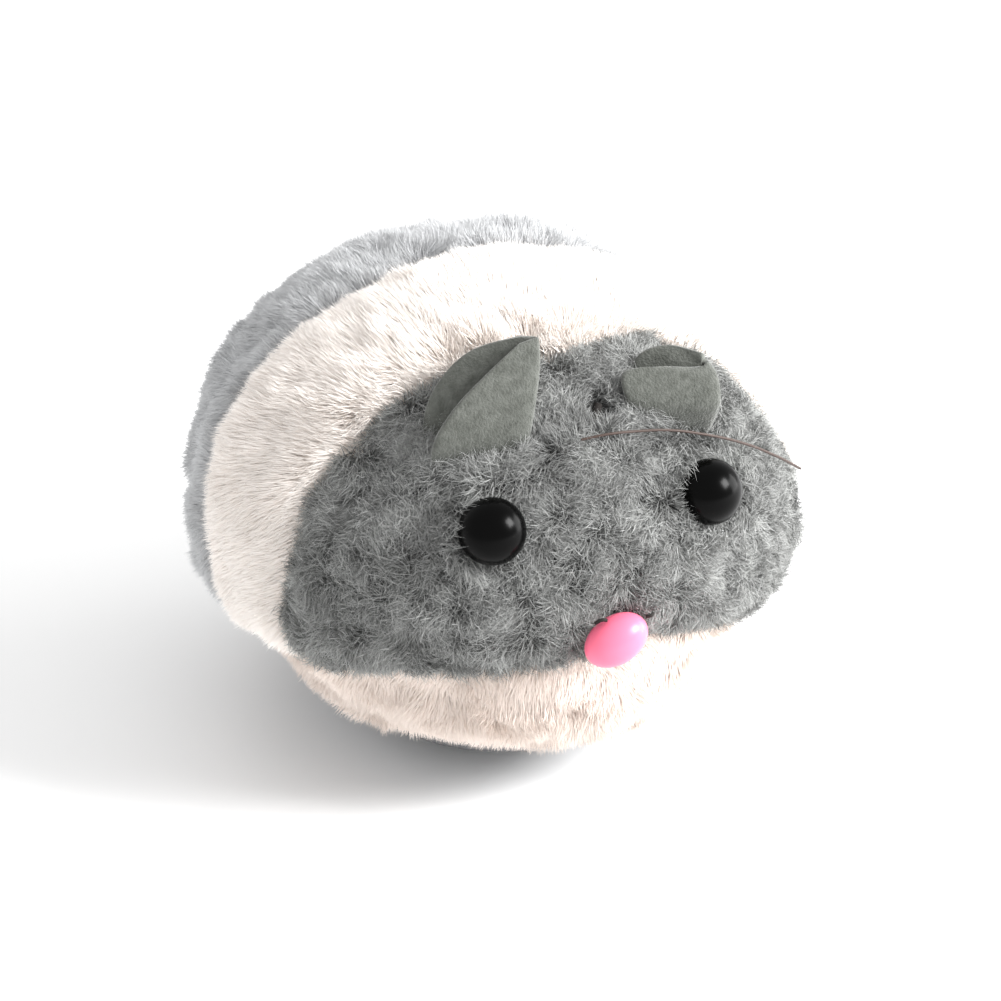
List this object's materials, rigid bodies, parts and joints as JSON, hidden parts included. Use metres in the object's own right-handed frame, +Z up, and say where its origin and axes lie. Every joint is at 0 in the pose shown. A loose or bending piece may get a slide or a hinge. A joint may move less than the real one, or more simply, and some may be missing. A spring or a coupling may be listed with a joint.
{
  "type": "clockwork mouse",
  "caption": "Small round plush mouse with bead eyes and nose, standing on wheels, with a key-wound clockwork movement inside.",
  "frame": {"origin": "on the floor, under the middle of the whole toy's box", "axes": "+Z up, -Y towards the nose, +X the mouse's left side, where the key is"},
  "size_m": [0.072, 0.0764, 0.0585],
  "materials": {
    "grey_plush": "short plush pile, mottled grey",
    "white_plush": "short plush pile, white",
    "rump_plush": "short plush pile, light grey",
    "belly_plush": "short plush pile, cream",
    "ear_felt": "grey felt",
    "fibrefill": "loose polyester filling",
    "black_bead": "polished black",
    "pink_bead": "polished pink",
    "washer_plastic": "natural nylon",
    "base_plastic": "moulded, fine texture",
    "case_plastic": "moulded",
    "gear_plastic": "natural acetal",
    "key_plastic": "moulded, satin",
    "wheel_plastic": "moulded",
    "tyre_rubber": "matt black",
    "shaft_steel": "drawn steel",
    "spring_steel": "blued spring steel",
    "screw_steel": "zinc plated",
    "brass": "stamped"
  },
  "bodies": {
    "plush": {"head_cover": "grey_plush", "saddle_cover": "white_plush", "rump_cover": "rump_plush", "belly_cover": "belly_plush", "stuffing": "fibrefill", "right_ear": "ear_felt", "left_ear": "ear_felt", "right_eye": "black_bead", "left_eye": "black_bead", "right_eye_washer": "washer_plastic", "left_eye_washer": "washer_plastic", "nose": "pink_bead", "nose_washer": "washer_plastic", "base_plate": "base_plastic", "case_left": "case_plastic", "case_right": "case_plastic", "case_screw_1": "screw_steel", "case_screw_2": "screw_steel", "case_screw_3": "screw_steel", "case_screw_4": "screw_steel", "base_screw_1": "screw_steel", "base_screw_2": "screw_steel", "base_screw_3": "screw_steel", "base_screw_4": "screw_steel", "mainspring": "spring_steel", "front_axle": "shaft_steel"},
    "great_wheel": {"great_wheel": "gear_plastic", "click": "brass", "click_pin": "shaft_steel", "click_spring": "spring_steel"},
    "winding_arbor": {"arbor": "shaft_steel", "ratchet_wheel": "brass", "key": "key_plastic"},
    "drive_axle": {"drive_axle": "shaft_steel", "axle_pinion": "gear_plastic", "right_wheel": "wheel_plastic", "left_wheel": "wheel_plastic", "right_tyre": "tyre_rubber", "left_tyre": "tyre_rubber"},
    "first_wheel": {"first_wheel": "gear_plastic", "first_pinion": "gear_plastic", "first_staff": "shaft_steel"},
    "second_wheel": {"second_wheel": "gear_plastic", "second_pinion": "gear_plastic", "second_staff": "shaft_steel"},
    "escape_wheel": {"escape_wheel": "gear_plastic", "escape_pinion": "gear_plastic", "escape_staff": "shaft_steel"},
    "pallet": {"pallet": "brass", "pallet_staff": "shaft_steel"},
    "front_roller": {"front_roller": "wheel_plastic"}
  },
  "joints": [
    {"name": "great_wheel_spin", "type": "hinge", "parent": "plush", "child": "great_wheel", "pos_m": [0, 0.0098, 0.0215], "axis": [1, 0, 0], "continuous": true},
    {"name": "key_winding", "type": "hinge", "parent": "great_wheel", "child": "winding_arbor", "pos_m": [0, 0.0098, 0.0215], "axis": [1, 0, 0], "range_deg": [0, 1440], "deforming": ["mainspring"]},
    {"name": "drive_axle_spin", "type": "hinge", "parent": "plush", "child": "drive_axle", "pos_m": [0, 0.0098, 0.0085], "axis": [1, 0, 0], "continuous": true},
    {"name": "first_wheel_spin", "type": "hinge", "parent": "plush", "child": "first_wheel", "pos_m": [0, -0.00153, 0.01622], "axis": [1, 0, 0], "continuous": true},
    {"name": "second_wheel_spin", "type": "hinge", "parent": "plush", "child": "second_wheel", "pos_m": [0, -0.00907, 0.02149], "axis": [1, 0, 0], "continuous": true},
    {"name": "escape_wheel_spin", "type": "hinge", "parent": "plush", "child": "escape_wheel", "pos_m": [0, -0.01565, 0.01769], "axis": [1, 0, 0], "continuous": true},
    {"name": "pallet_rock", "type": "hinge", "parent": "plush", "child": "pallet", "pos_m": [0, -0.02091, 0.01961], "axis": [1, 0, 0], "range_deg": [-4, 4]},
    {"name": "front_roller_spin", "type": "hinge", "parent": "plush", "child": "front_roller", "pos_m": [0, -0.0107, 0.0036], "axis": [1, 0, 0], "continuous": true}
  ],
  "couplings": [
    {"joint": "drive_axle_spin", "follows": "great_wheel_spin", "ratio": -3.3333},
    {"joint": "first_wheel_spin", "follows": "great_wheel_spin", "ratio": -4},
    {"joint": "second_wheel_spin", "follows": "great_wheel_spin", "ratio": 14.4},
    {"joint": "escape_wheel_spin", "follows": "great_wheel_spin", "ratio": -54}
  ]
}
